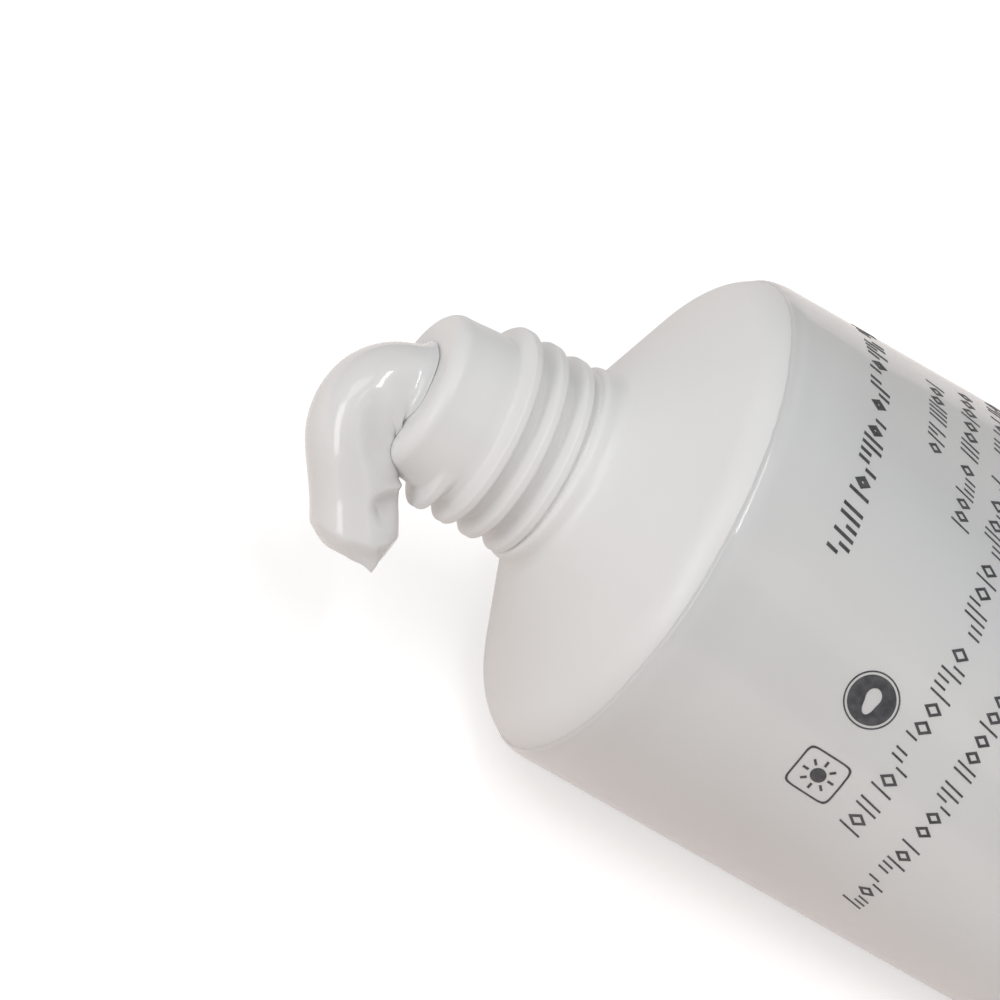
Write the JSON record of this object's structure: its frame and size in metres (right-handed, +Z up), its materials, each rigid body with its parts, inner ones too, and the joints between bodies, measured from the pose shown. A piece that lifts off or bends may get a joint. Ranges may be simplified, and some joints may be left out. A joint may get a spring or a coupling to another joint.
{
  "type": "sunscreen tube",
  "caption": "Soft plastic squeeze tube lying on its side, with a rounded conical shoulder, threaded neck without its cap, flat sealed tail and a bead of white cream curling from the nozzle.",
  "frame": {"origin": "on the surface it lies on, below the middle of the bounding box", "axes": "+Z up; the tube's axis lies in the X-Z plane, nozzle towards -X and sealed tail towards +X, with the nozzle end raised by about 8.7 degrees as it comes to rest; the seal's width lies along Y"},
  "size_m": [0.1578, 0.0628, 0.04],
  "materials": {
    "sleeve": "soft white polyethylene film tube with a satin, slightly pearly skin",
    "head": "white injection-moulded polyethylene, satin",
    "cream": "thick white cream, moist and glossy",
    "print": "thin dark grey printing ink"
  },
  "bodies": {
    "root": {"sleeve": "sleeve", "head": "head", "cream_fill": "cream", "cream_bead": "cream"}
  },
  "joints": []
}
